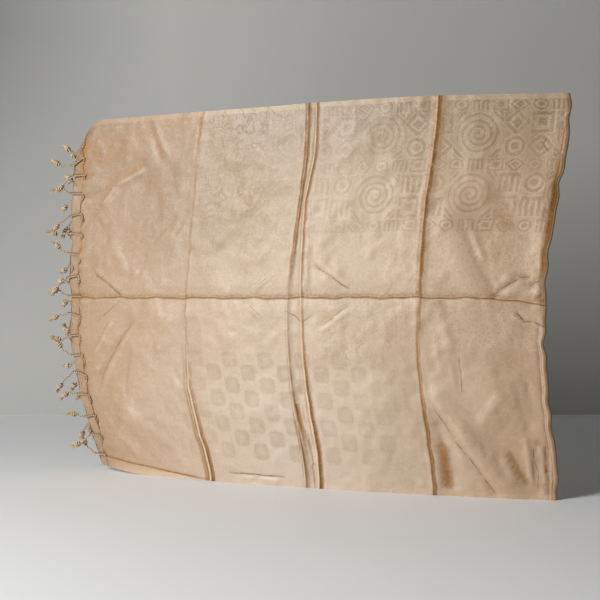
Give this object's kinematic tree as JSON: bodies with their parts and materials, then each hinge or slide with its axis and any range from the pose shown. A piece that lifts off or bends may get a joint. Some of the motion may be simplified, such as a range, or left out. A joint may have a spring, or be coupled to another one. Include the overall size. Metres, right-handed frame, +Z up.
{
  "type": "dupatta stole",
  "caption": "Silk-like damask stole folded once across its length and stood on its long edges, with sharp fold creases and knotted tassels along its two ends.",
  "frame": {"origin": "on the floor under the middle of the part's box", "axes": "+X along the folded stole towards its fold, -Y towards the viewer of its front layer, +Z up from the edges it stands on"},
  "size_m": [1.0527, 0.1053, 0.706],
  "materials": {
    "stole_cloth": "tone-on-tone silk damask with a soft sheen, fawn",
    "fringe_yarn": "twisted silk yarn, knotted and tufted"
  },
  "bodies": {
    "root": {"stole_front_layer": "stole_cloth", "stole_back_layer": "stole_cloth", "front_fringe": "fringe_yarn", "back_fringe": "fringe_yarn"}
  },
  "joints": []
}
